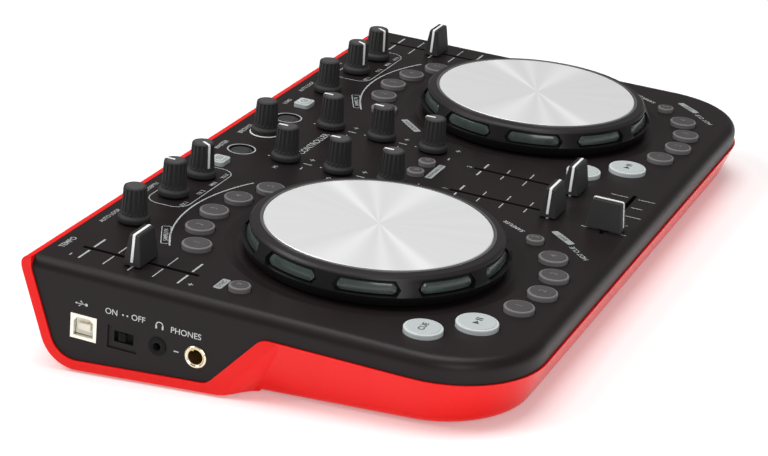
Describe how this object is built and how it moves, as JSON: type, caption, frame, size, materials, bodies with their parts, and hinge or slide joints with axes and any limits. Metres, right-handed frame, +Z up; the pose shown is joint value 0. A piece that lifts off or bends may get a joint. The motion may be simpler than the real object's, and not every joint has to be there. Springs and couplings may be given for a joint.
{
  "type": "dj controller",
  "caption": "Wedge-shaped two-deck DJ controller with jog wheels, faders, knobs, push buttons and side sockets.",
  "frame": {"origin": "middle of the controller's bounding box at the table it stands on", "axes": "+X to the user's right, +Y to the back of the controller, +Z up; the deck itself rises 5.4 degrees to the back"},
  "size_m": [0.3722, 0.217, 0.0634],
  "materials": {
    "deck_black": "satin charcoal black",
    "tub_red": "glossy red",
    "foot_rubber": "matte",
    "board_green": "lacquered board",
    "socket_metal": "nickel plate",
    "knob_black": "matte black with white pointer",
    "button_grey": "grey rubber-like",
    "button_silver": "cool light grey",
    "jog_black": "satin black",
    "platter_metal": "spun aluminium"
  },
  "bodies": {
    "case": {"top_case": "deck_black", "bottom_tub": "tub_red", "rubber_feet": "foot_rubber", "circuit_board": "board_green", "socket_set": "socket_metal"},
    "jog_wheel_left": {"jog_wheel_left": "jog_black", "jog_platter_left": "platter_metal"},
    "jog_wheel_right": {"jog_wheel_right": "jog_black", "jog_platter_right": "platter_metal"},
    "browse_encoder": {"browse_encoder": "knob_black"},
    "eq_high_left": {"eq_high_left": "knob_black"},
    "eq_mid_left": {"eq_mid_left": "knob_black"},
    "eq_low_left": {"eq_low_left": "knob_black"},
    "loop_encoder_left": {"loop_encoder_left": "knob_black"},
    "effect_one_left": {"effect_one_left": "knob_black"},
    "effect_two_left": {"effect_two_left": "knob_black"},
    "eq_high_right": {"eq_high_right": "knob_black"},
    "eq_mid_right": {"eq_mid_right": "knob_black"},
    "eq_low_right": {"eq_low_right": "knob_black"},
    "loop_encoder_right": {"loop_encoder_right": "knob_black"},
    "effect_one_right": {"effect_one_right": "knob_black"},
    "effect_two_right": {"effect_two_right": "knob_black"},
    "level_master": {"level_master": "knob_black"},
    "level_phones": {"level_phones": "knob_black"},
    "crossfader_cap": {"crossfader_cap": "knob_black"},
    "tempo_cap_left": {"tempo_cap_left": "knob_black"},
    "channel_cap_left": {"channel_cap_left": "knob_black"},
    "tempo_cap_right": {"tempo_cap_right": "knob_black"},
    "channel_cap_right": {"channel_cap_right": "knob_black"},
    "power_switch_knob": {"power_switch_knob": "knob_black"},
    "effect_pad_1_left": {"effect_pad_1_left": "button_grey"},
    "effect_pad_2_left": {"effect_pad_2_left": "button_grey"},
    "effect_pad_3_left": {"effect_pad_3_left": "button_grey"},
    "effect_pad_4_left": {"effect_pad_4_left": "button_grey"},
    "effect_pad_5_left": {"effect_pad_5_left": "button_grey"},
    "hot_cue_1_left": {"hot_cue_1_left": "button_grey"},
    "hot_cue_2_left": {"hot_cue_2_left": "button_grey"},
    "hot_cue_3_left": {"hot_cue_3_left": "button_grey"},
    "hot_cue_4_left": {"hot_cue_4_left": "button_grey"},
    "cue_button_left": {"cue_button_left": "button_silver"},
    "play_button_left": {"play_button_left": "button_silver"},
    "sampler_button_left": {"sampler_button_left": "button_grey"},
    "sync_button_left": {"sync_button_left": "button_grey"},
    "phones_cue_left": {"phones_cue_left": "button_grey"},
    "effect_pad_1_right": {"effect_pad_1_right": "button_grey"},
    "effect_pad_2_right": {"effect_pad_2_right": "button_grey"},
    "effect_pad_3_right": {"effect_pad_3_right": "button_grey"},
    "effect_pad_4_right": {"effect_pad_4_right": "button_grey"},
    "effect_pad_5_right": {"effect_pad_5_right": "button_grey"},
    "hot_cue_1_right": {"hot_cue_1_right": "button_grey"},
    "hot_cue_2_right": {"hot_cue_2_right": "button_grey"},
    "hot_cue_3_right": {"hot_cue_3_right": "button_grey"},
    "hot_cue_4_right": {"hot_cue_4_right": "button_grey"},
    "cue_button_right": {"cue_button_right": "button_silver"},
    "play_button_right": {"play_button_right": "button_silver"},
    "sampler_button_right": {"sampler_button_right": "button_grey"},
    "sync_button_right": {"sync_button_right": "button_grey"},
    "phones_cue_right": {"phones_cue_right": "button_grey"},
    "load_button_left": {"load_button_left": "button_silver"},
    "load_button_right": {"load_button_right": "button_silver"}
  },
  "joints": [
    {"name": "jog_wheel_left_turn", "type": "hinge", "parent": "case", "child": "jog_wheel_left", "pos_m": [-0.1013, -0.01802, 0.0372], "axis": [0, -0.0941, 0.9956], "continuous": true},
    {"name": "jog_wheel_right_turn", "type": "hinge", "parent": "case", "child": "jog_wheel_right", "pos_m": [0.1013, -0.01802, 0.0372], "axis": [0, -0.0941, 0.9956], "continuous": true},
    {"name": "browse_encoder_turn", "type": "hinge", "parent": "case", "child": "browse_encoder", "pos_m": [0, 0.08093, 0.04655], "axis": [0, -0.0941, 0.9956], "continuous": true},
    {"name": "eq_high_left_turn", "type": "hinge", "parent": "case", "child": "eq_high_left", "pos_m": [-0.0257, 0.05843, 0.04443], "axis": [0, 0.0941, -0.9956], "range_deg": [-150, 150]},
    {"name": "eq_mid_left_turn", "type": "hinge", "parent": "case", "child": "eq_mid_left", "pos_m": [-0.0257, 0.03235, 0.04196], "axis": [0, 0.0941, -0.9956], "range_deg": [-150, 150]},
    {"name": "eq_low_left_turn", "type": "hinge", "parent": "case", "child": "eq_low_left", "pos_m": [-0.0257, 0.00627, 0.0395], "axis": [0, 0.0941, -0.9956], "range_deg": [-150, 150]},
    {"name": "loop_encoder_left_turn", "type": "hinge", "parent": "case", "child": "loop_encoder_left", "pos_m": [-0.13, 0.08093, 0.04655], "axis": [0, -0.0941, 0.9956], "continuous": true},
    {"name": "effect_one_left_turn", "type": "hinge", "parent": "case", "child": "effect_one_left", "pos_m": [-0.0936, 0.08093, 0.04655], "axis": [0, 0.0941, -0.9956], "range_deg": [-150, 150]},
    {"name": "effect_two_left_turn", "type": "hinge", "parent": "case", "child": "effect_two_left", "pos_m": [-0.0669, 0.08093, 0.04655], "axis": [0, 0.0941, -0.9956], "range_deg": [0, 300]},
    {"name": "eq_high_right_turn", "type": "hinge", "parent": "case", "child": "eq_high_right", "pos_m": [0.0257, 0.05843, 0.04443], "axis": [0, 0.0941, -0.9956], "range_deg": [-150, 150]},
    {"name": "eq_mid_right_turn", "type": "hinge", "parent": "case", "child": "eq_mid_right", "pos_m": [0.0257, 0.03235, 0.04196], "axis": [0, 0.0941, -0.9956], "range_deg": [-150, 150]},
    {"name": "eq_low_right_turn", "type": "hinge", "parent": "case", "child": "eq_low_right", "pos_m": [0.0257, 0.00627, 0.0395], "axis": [0, 0.0941, -0.9956], "range_deg": [-150, 150]},
    {"name": "loop_encoder_right_turn", "type": "hinge", "parent": "case", "child": "loop_encoder_right", "pos_m": [0.0726, 0.08093, 0.04655], "axis": [0, -0.0941, 0.9956], "continuous": true},
    {"name": "effect_one_right_turn", "type": "hinge", "parent": "case", "child": "effect_one_right", "pos_m": [0.109, 0.08093, 0.04655], "axis": [0, 0.0941, -0.9956], "range_deg": [0, 300]},
    {"name": "effect_two_right_turn", "type": "hinge", "parent": "case", "child": "effect_two_right", "pos_m": [0.1357, 0.08093, 0.04655], "axis": [0, 0.0941, -0.9956], "range_deg": [0, 300]},
    {"name": "level_master_turn", "type": "hinge", "parent": "case", "child": "level_master", "pos_m": [-0.0257, 0.08093, 0.04655], "axis": [0, 0.0941, -0.9956], "range_deg": [-150, 150]},
    {"name": "level_phones_turn", "type": "hinge", "parent": "case", "child": "level_phones", "pos_m": [0.0257, 0.08093, 0.04655], "axis": [0, 0.0941, -0.9956], "range_deg": [-150, 150]},
    {"name": "crossfader_cap_slide", "type": "slide", "parent": "case", "child": "crossfader_cap", "axis": [1, 0, 0], "range_m": [-0.0028, 0.0422]},
    {"name": "tempo_cap_left_slide", "type": "slide", "parent": "case", "child": "tempo_cap_left", "axis": [0, 0.9956, 0.0941], "range_m": [-0.0225, 0.0225]},
    {"name": "channel_cap_left_slide", "type": "slide", "parent": "case", "child": "channel_cap_left", "axis": [0, 0.9956, 0.0941], "range_m": [0, 0.045]},
    {"name": "tempo_cap_right_slide", "type": "slide", "parent": "case", "child": "tempo_cap_right", "axis": [0, 0.9956, 0.0941], "range_m": [-0.0225, 0.0225]},
    {"name": "channel_cap_right_slide", "type": "slide", "parent": "case", "child": "channel_cap_right", "axis": [0, 0.9956, 0.0941], "range_m": [0, 0.045]},
    {"name": "power_switch_slide", "type": "slide", "parent": "case", "child": "power_switch_knob", "axis": [0, -0.9956, -0.0941], "range_m": [0, 0.002]},
    {"name": "effect_pad_1_left_press", "type": "slide", "parent": "case", "child": "effect_pad_1_left", "axis": [0, 0.0941, -0.9956], "range_m": [0, 0.0008], "stiffness_N_per_m": 400, "springref_m": -0.0006},
    {"name": "effect_pad_2_left_press", "type": "slide", "parent": "case", "child": "effect_pad_2_left", "axis": [0, 0.0941, -0.9956], "range_m": [0, 0.0008], "stiffness_N_per_m": 400, "springref_m": -0.0006},
    {"name": "effect_pad_3_left_press", "type": "slide", "parent": "case", "child": "effect_pad_3_left", "axis": [0, 0.0941, -0.9956], "range_m": [0, 0.0008], "stiffness_N_per_m": 400, "springref_m": -0.0006},
    {"name": "effect_pad_4_left_press", "type": "slide", "parent": "case", "child": "effect_pad_4_left", "axis": [0, 0.0941, -0.9956], "range_m": [0, 0.0008], "stiffness_N_per_m": 400, "springref_m": -0.0006},
    {"name": "effect_pad_5_left_press", "type": "slide", "parent": "case", "child": "effect_pad_5_left", "axis": [0, 0.0941, -0.9956], "range_m": [0, 0.0008], "stiffness_N_per_m": 400, "springref_m": -0.0006},
    {"name": "hot_cue_1_left_press", "type": "slide", "parent": "case", "child": "hot_cue_1_left", "axis": [0, 0.0941, -0.9956], "range_m": [0, 0.0008], "stiffness_N_per_m": 400, "springref_m": -0.0006},
    {"name": "hot_cue_2_left_press", "type": "slide", "parent": "case", "child": "hot_cue_2_left", "axis": [0, 0.0941, -0.9956], "range_m": [0, 0.0008], "stiffness_N_per_m": 400, "springref_m": -0.0006},
    {"name": "hot_cue_3_left_press", "type": "slide", "parent": "case", "child": "hot_cue_3_left", "axis": [0, 0.0941, -0.9956], "range_m": [0, 0.0008], "stiffness_N_per_m": 400, "springref_m": -0.0006},
    {"name": "hot_cue_4_left_press", "type": "slide", "parent": "case", "child": "hot_cue_4_left", "axis": [0, 0.0941, -0.9956], "range_m": [0, 0.0008], "stiffness_N_per_m": 400, "springref_m": -0.0006},
    {"name": "cue_button_left_press", "type": "slide", "parent": "case", "child": "cue_button_left", "axis": [0, 0.0941, -0.9956], "range_m": [0, 0.0008], "stiffness_N_per_m": 400, "springref_m": -0.0006},
    {"name": "play_button_left_press", "type": "slide", "parent": "case", "child": "play_button_left", "axis": [0, 0.0941, -0.9956], "range_m": [0, 0.0008], "stiffness_N_per_m": 400, "springref_m": -0.0006},
    {"name": "sampler_button_left_press", "type": "slide", "parent": "case", "child": "sampler_button_left", "axis": [0, 0.0941, -0.9956], "range_m": [0, 0.0008], "stiffness_N_per_m": 400, "springref_m": -0.0006},
    {"name": "sync_button_left_press", "type": "slide", "parent": "case", "child": "sync_button_left", "axis": [0, 0.0941, -0.9956], "range_m": [0, 0.0008], "stiffness_N_per_m": 400, "springref_m": -0.0006},
    {"name": "phones_cue_left_press", "type": "slide", "parent": "case", "child": "phones_cue_left", "axis": [0, 0.0941, -0.9956], "range_m": [0, 0.0008], "stiffness_N_per_m": 400, "springref_m": -0.0006},
    {"name": "effect_pad_1_right_press", "type": "slide", "parent": "case", "child": "effect_pad_1_right", "axis": [0, 0.0941, -0.9956], "range_m": [0, 0.0008], "stiffness_N_per_m": 400, "springref_m": -0.0006},
    {"name": "effect_pad_2_right_press", "type": "slide", "parent": "case", "child": "effect_pad_2_right", "axis": [0, 0.0941, -0.9956], "range_m": [0, 0.0008], "stiffness_N_per_m": 400, "springref_m": -0.0006},
    {"name": "effect_pad_3_right_press", "type": "slide", "parent": "case", "child": "effect_pad_3_right", "axis": [0, 0.0941, -0.9956], "range_m": [0, 0.0008], "stiffness_N_per_m": 400, "springref_m": -0.0006},
    {"name": "effect_pad_4_right_press", "type": "slide", "parent": "case", "child": "effect_pad_4_right", "axis": [0, 0.0941, -0.9956], "range_m": [0, 0.0008], "stiffness_N_per_m": 400, "springref_m": -0.0006},
    {"name": "effect_pad_5_right_press", "type": "slide", "parent": "case", "child": "effect_pad_5_right", "axis": [0, 0.0941, -0.9956], "range_m": [0, 0.0008], "stiffness_N_per_m": 400, "springref_m": -0.0006},
    {"name": "hot_cue_1_right_press", "type": "slide", "parent": "case", "child": "hot_cue_1_right", "axis": [0, 0.0941, -0.9956], "range_m": [0, 0.0008], "stiffness_N_per_m": 400, "springref_m": -0.0006},
    {"name": "hot_cue_2_right_press", "type": "slide", "parent": "case", "child": "hot_cue_2_right", "axis": [0, 0.0941, -0.9956], "range_m": [0, 0.0008], "stiffness_N_per_m": 400, "springref_m": -0.0006},
    {"name": "hot_cue_3_right_press", "type": "slide", "parent": "case", "child": "hot_cue_3_right", "axis": [0, 0.0941, -0.9956], "range_m": [0, 0.0008], "stiffness_N_per_m": 400, "springref_m": -0.0006},
    {"name": "hot_cue_4_right_press", "type": "slide", "parent": "case", "child": "hot_cue_4_right", "axis": [0, 0.0941, -0.9956], "range_m": [0, 0.0008], "stiffness_N_per_m": 400, "springref_m": -0.0006},
    {"name": "cue_button_right_press", "type": "slide", "parent": "case", "child": "cue_button_right", "axis": [0, 0.0941, -0.9956], "range_m": [0, 0.0008], "stiffness_N_per_m": 400, "springref_m": -0.0006},
    {"name": "play_button_right_press", "type": "slide", "parent": "case", "child": "play_button_right", "axis": [0, 0.0941, -0.9956], "range_m": [0, 0.0008], "stiffness_N_per_m": 400, "springref_m": -0.0006},
    {"name": "sampler_button_right_press", "type": "slide", "parent": "case", "child": "sampler_button_right", "axis": [0, 0.0941, -0.9956], "range_m": [0, 0.0008], "stiffness_N_per_m": 400, "springref_m": -0.0006},
    {"name": "sync_button_right_press", "type": "slide", "parent": "case", "child": "sync_button_right", "axis": [0, 0.0941, -0.9956], "range_m": [0, 0.0008], "stiffness_N_per_m": 400, "springref_m": -0.0006},
    {"name": "phones_cue_right_press", "type": "slide", "parent": "case", "child": "phones_cue_right", "axis": [0, 0.0941, -0.9956], "range_m": [0, 0.0008], "stiffness_N_per_m": 400, "springref_m": -0.0006},
    {"name": "load_button_left_press", "type": "slide", "parent": "case", "child": "load_button_left", "axis": [0, 0.0941, -0.9956], "range_m": [0, 0.0008], "stiffness_N_per_m": 400, "springref_m": -0.0006},
    {"name": "load_button_right_press", "type": "slide", "parent": "case", "child": "load_button_right", "axis": [0, 0.0941, -0.9956], "range_m": [0, 0.0008], "stiffness_N_per_m": 400, "springref_m": -0.0006}
  ]
}
